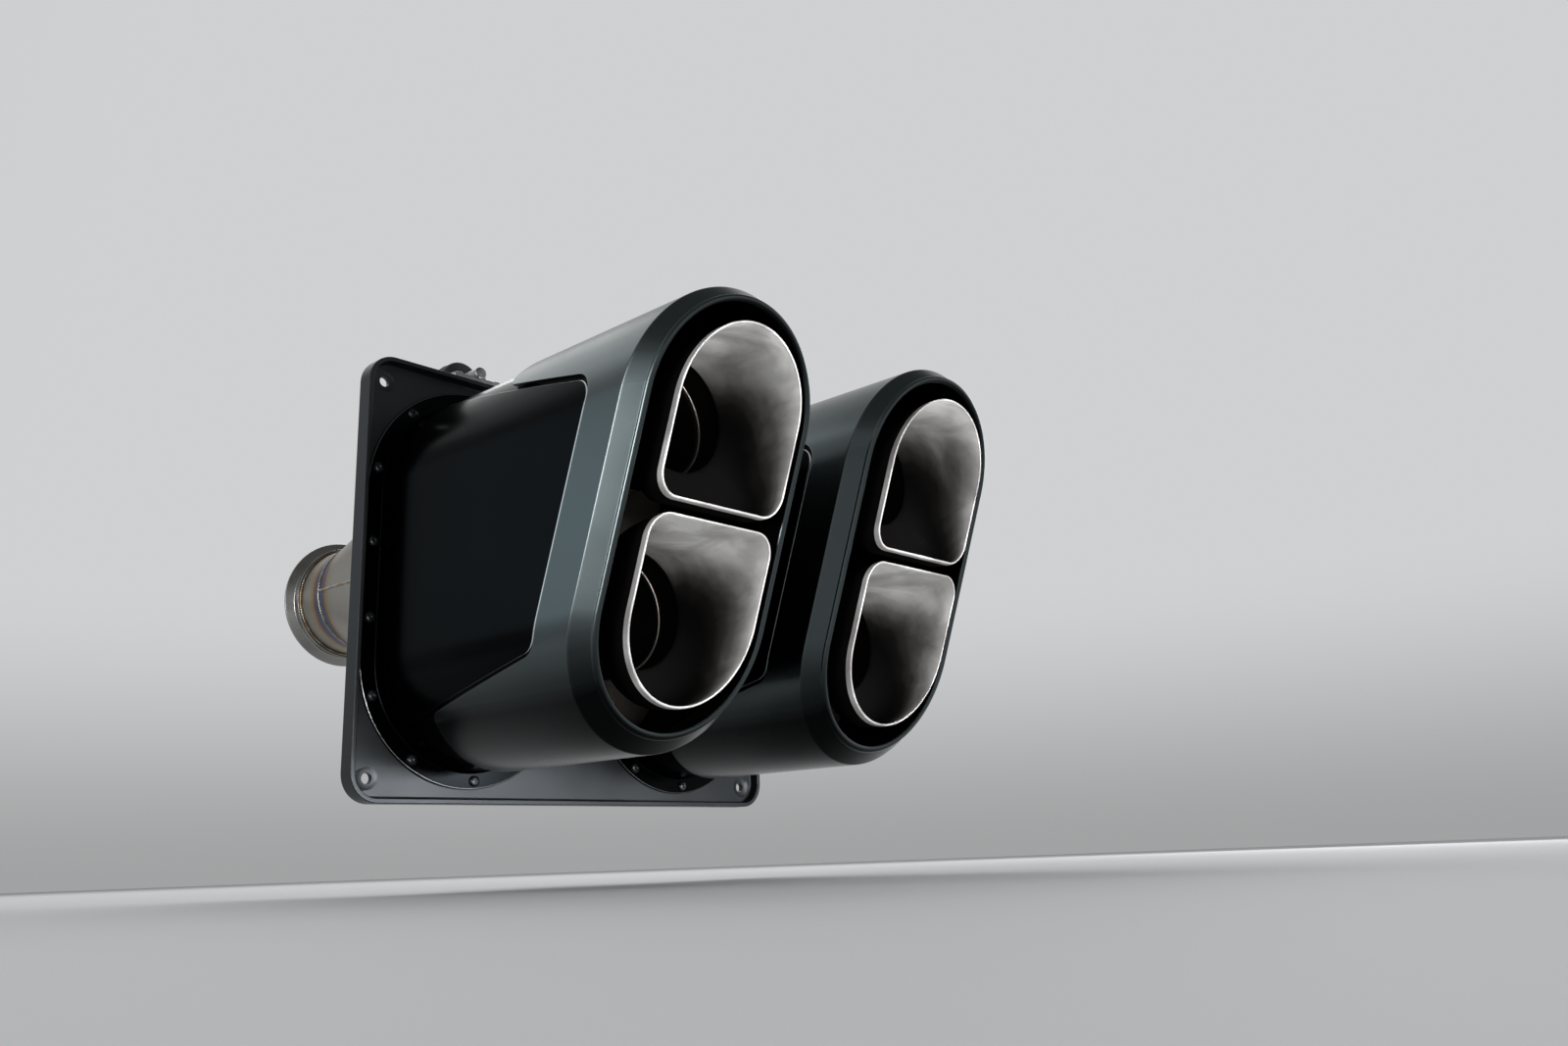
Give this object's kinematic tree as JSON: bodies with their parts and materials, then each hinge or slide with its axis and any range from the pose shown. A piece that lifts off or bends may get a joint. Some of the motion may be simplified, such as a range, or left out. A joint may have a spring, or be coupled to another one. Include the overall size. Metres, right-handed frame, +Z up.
{
  "type": "twin stacked car exhaust outlet",
  "caption": "Two pill-shaped anodised housings, each with stacked D-shaped titanium exhaust trumpets, pipes and a collector, on one carrier plate for a car's tail.",
  "frame": {"origin": "centre of the carrier plate's four bolt holes, on its front face, which bolts to the car", "axes": "+X to the car's right, +Y forward and out of the carrier's mounting face, +Z up; the mouths face -Y"},
  "size_m": [0.464, 0.5761, 0.405],
  "materials": {
    "bezel_anodised": "bead-blasted and anodised satin slate grey",
    "sleeve_anodised": "anodised satin dark grey",
    "titanium_blasted": "bead-blasted titanium with a polished rim and faint heat tint",
    "titanium_pipe": "drawn titanium tube, heat tinted near the welds",
    "baffle_steel": "stainless sheet, dulled by heat",
    "flange_steel": "turned stainless steel",
    "arm_zinc": "zinc plated steel",
    "isolator_rubber": "matt moulded rubber",
    "carrier_aluminium": "machined plate, hard anodised black"
  },
  "bodies": {
    "root": {"finisher_left": "bezel_anodised", "finisher_right": "bezel_anodised", "sleeve_left": "sleeve_anodised", "sleeve_right": "sleeve_anodised", "tip_upper_left": "titanium_blasted", "tip_upper_right": "titanium_blasted", "tip_lower_left": "titanium_blasted", "tip_lower_right": "titanium_blasted", "pipe_upper_left": "titanium_pipe", "pipe_upper_right": "titanium_pipe", "pipe_lower_left": "titanium_pipe", "pipe_lower_right": "titanium_pipe", "bend_upper_left": "titanium_pipe", "bend_upper_right": "titanium_pipe", "bend_lower_left": "titanium_pipe", "bend_lower_right": "titanium_pipe", "baffle_left": "baffle_steel", "baffle_right": "baffle_steel", "collector_left": "titanium_pipe", "collector_right": "titanium_pipe", "hook_left": "titanium_pipe", "hook_right": "titanium_pipe", "inlet_flange_left": "flange_steel", "inlet_flange_right": "flange_steel", "hanger_arm_left": "arm_zinc", "hanger_arm_right": "arm_zinc", "isolator_left": "isolator_rubber", "isolator_right": "isolator_rubber", "carrier": "carrier_aluminium"}
  },
  "joints": []
}
